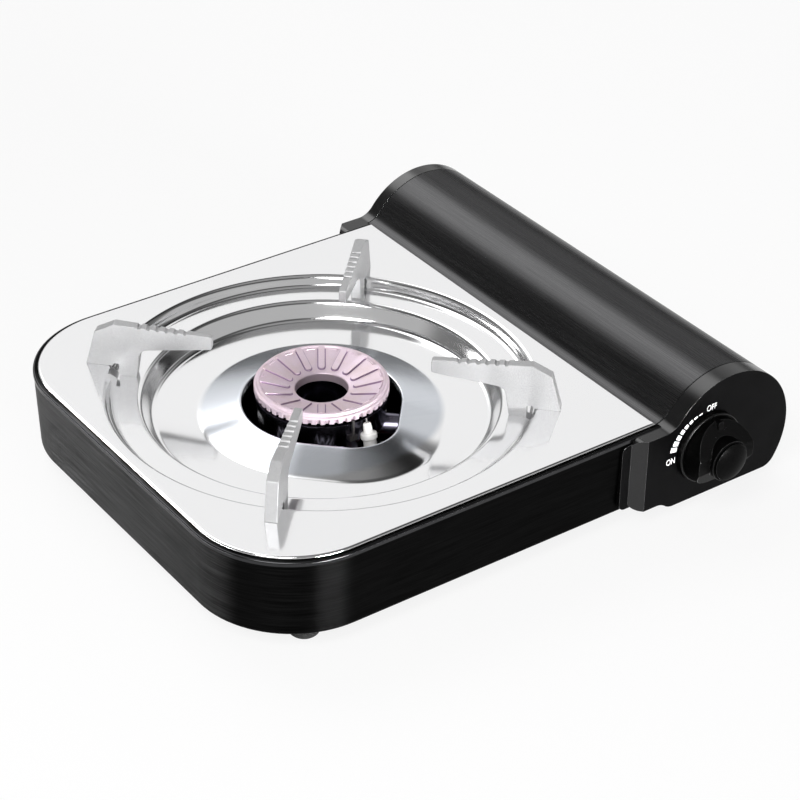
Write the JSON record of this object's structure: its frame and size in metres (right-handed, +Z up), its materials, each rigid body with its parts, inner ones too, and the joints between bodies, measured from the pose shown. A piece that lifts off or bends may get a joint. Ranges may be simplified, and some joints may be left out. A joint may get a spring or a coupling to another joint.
{
  "type": "butane cassette stove",
  "caption": "Portable butane stove with a stainless top, four pan arms and a black hinged lid over its canister bay.",
  "frame": {"origin": "bottom centre of the whole stove's box, under the feet", "axes": "+X to the right towards the canister bay, +Y to the rear (the knob faces -Y), +Z up"},
  "size_m": [0.3412, 0.3113, 0.0844],
  "materials": {
    "stainless": "satin stainless sheet with a bright highlight",
    "black_metal": "black with fine horizontal hairlines, satin",
    "black_plastic": "satin black moulding",
    "knob_black": "matt black with a fine grain",
    "knob_cap": "semi-gloss black dome",
    "cast_arm": "bead-blasted casting",
    "burner_top": "machined, pinkish",
    "burner_cast": "die casting",
    "zinc": "zinc-plated sheet",
    "zinc_dark": "grey die casting",
    "gas_brass": "turned brass",
    "copper": "drawn copper tube",
    "screw": "zinc-plated screw",
    "rubber": "matt black rubber",
    "membrane": "nitrile rubber",
    "ceramic": "white glazed ceramic",
    "spark_wire": "nickel wire",
    "magnet": "nickel-plated magnet",
    "lead": "red silicone insulation"
  },
  "bodies": {
    "casing": {"body_pan": "black_metal", "front_panel": "black_plastic", "rear_cap": "black_plastic", "burner_head": "burner_top", "burner_body": "burner_cast", "mixing_tube": "burner_cast", "partition_wall": "zinc", "bay_tray": "zinc", "canister_rails": "zinc", "bay_bulkhead": "zinc", "burner_bracket": "zinc", "governor_bracket": "zinc", "jet_bracket": "zinc", "heat_panel": "burner_cast", "igniter_clip": "zinc", "electrode_clamp": "zinc", "lead_clips": "zinc", "lid_hinge_pins": "screw", "foot_screws": "screw", "panel_screws": "screw", "canister_receiver": "zinc_dark", "governor_body": "zinc_dark", "regulator_cover": "zinc_dark", "regulator_spring": "screw", "regulator_diaphragm": "membrane", "receiver_magnets": "magnet", "inlet_nozzle": "gas_brass", "gas_jet": "gas_brass", "gas_pipe": "copper", "igniter_housing": "black_plastic", "electrode_ceramic": "ceramic", "electrode_wire": "spark_wire", "ground_pin": "spark_wire", "ignition_lead": "lead", "rubber_feet": "rubber"},
    "top_plate_unit": {"top_plate": "stainless", "pan_support_1": "cast_arm", "pan_support_2": "cast_arm", "pan_support_3": "cast_arm", "pan_support_4": "cast_arm", "support_screws": "screw"},
    "lid": {"lid_shell": "black_metal", "lid_ear_front": "zinc", "lid_ear_rear": "zinc", "lid_ear_rivets": "screw"},
    "knob": {"knob_skirt": "knob_black", "knob_grip": "knob_black", "knob_cap": "knob_cap", "valve_spindle": "gas_brass", "ignition_cam": "black_plastic"},
    "igniter_plunger": {"igniter_plunger": "screw"},
    "valve_pin": {"valve_pin": "gas_brass"}
  },
  "joints": [
    {"name": "lid_hinge", "type": "hinge", "parent": "casing", "child": "lid", "pos_m": [0.16311, 0.00995, 0.0195], "axis": [0, 1, 0], "range_deg": [0, 95]},
    {"name": "knob_turn", "type": "hinge", "parent": "casing", "child": "knob", "pos_m": [0.11171, -0.13285, 0.039], "axis": [0, -1, 0], "range_deg": [0, 95]},
    {"name": "igniter_push", "type": "slide", "parent": "casing", "child": "igniter_plunger", "axis": [0, 1, 0], "range_m": [0, 0.005]},
    {"name": "valve_push", "type": "slide", "parent": "casing", "child": "valve_pin", "axis": [0, 1, 0], "range_m": [0, 0.0012]},
    {"name": "top_plate_lift", "type": "slide", "parent": "casing", "child": "top_plate_unit", "axis": [0, 0, 1], "range_m": [0, 0.06]}
  ],
  "couplings": [
    {"joint": "igniter_push", "follows": "knob_turn", "m_per_rad": 0.0030153},
    {"joint": "valve_push", "follows": "knob_turn", "m_per_rad": 0.0007237}
  ]
}
